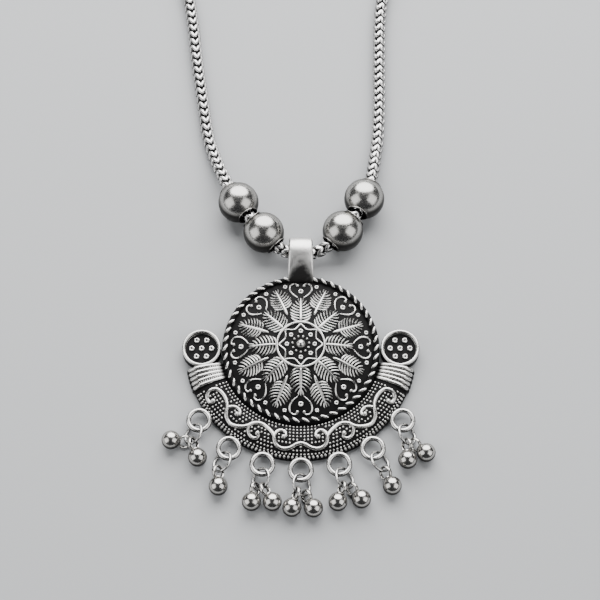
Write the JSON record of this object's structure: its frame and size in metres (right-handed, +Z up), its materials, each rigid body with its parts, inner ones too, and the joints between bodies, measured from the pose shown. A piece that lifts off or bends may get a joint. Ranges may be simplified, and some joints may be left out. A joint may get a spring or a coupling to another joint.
{
  "type": "statement necklace",
  "caption": "Oxidised silver statement necklace: a domed flower pendant with a crescent, rim loops and ball drops, on a woven chain with round hollow beads and a barrel clasp.",
  "frame": {"origin": "on the surface under the middle of the whole necklace as it lies", "axes": "+Z up from the surface, +Y from the pendant towards the clasp at the nape, +X to the right as seen from above with the pendant nearest"},
  "size_m": [0.1344, 0.2898, 0.0097],
  "materials": {
    "pendant_silver": "cast silver, blackened in the recesses and worn bright on the high points",
    "chain_silver": "woven silver wire, dark between the strands",
    "bead_silver": "satin polished silver with a warm grey tarnish",
    "link_silver": "bright drawn silver wire",
    "drop_silver": "satin polished silver, darker round the eye",
    "clasp_silver": "plain polished silver"
  },
  "bodies": {
    "root": {"pendant": "pendant_silver", "chain": "chain_silver", "bead_left_lower": "bead_silver", "bead_left_upper": "bead_silver", "bead_right_lower": "bead_silver", "bead_right_upper": "bead_silver", "link_1": "link_silver", "link_2": "link_silver", "link_3": "link_silver", "link_4": "link_silver", "link_5": "link_silver", "link_6": "link_silver", "link_7": "link_silver", "drop_1a": "drop_silver", "drop_1b": "drop_silver", "drop_2a": "drop_silver", "drop_3a": "drop_silver", "drop_3b": "drop_silver", "drop_4a": "drop_silver", "drop_4b": "drop_silver", "drop_5a": "drop_silver", "drop_5b": "drop_silver", "drop_6a": "drop_silver", "drop_7a": "drop_silver", "drop_7b": "drop_silver", "clasp": "clasp_silver"}
  },
  "joints": []
}
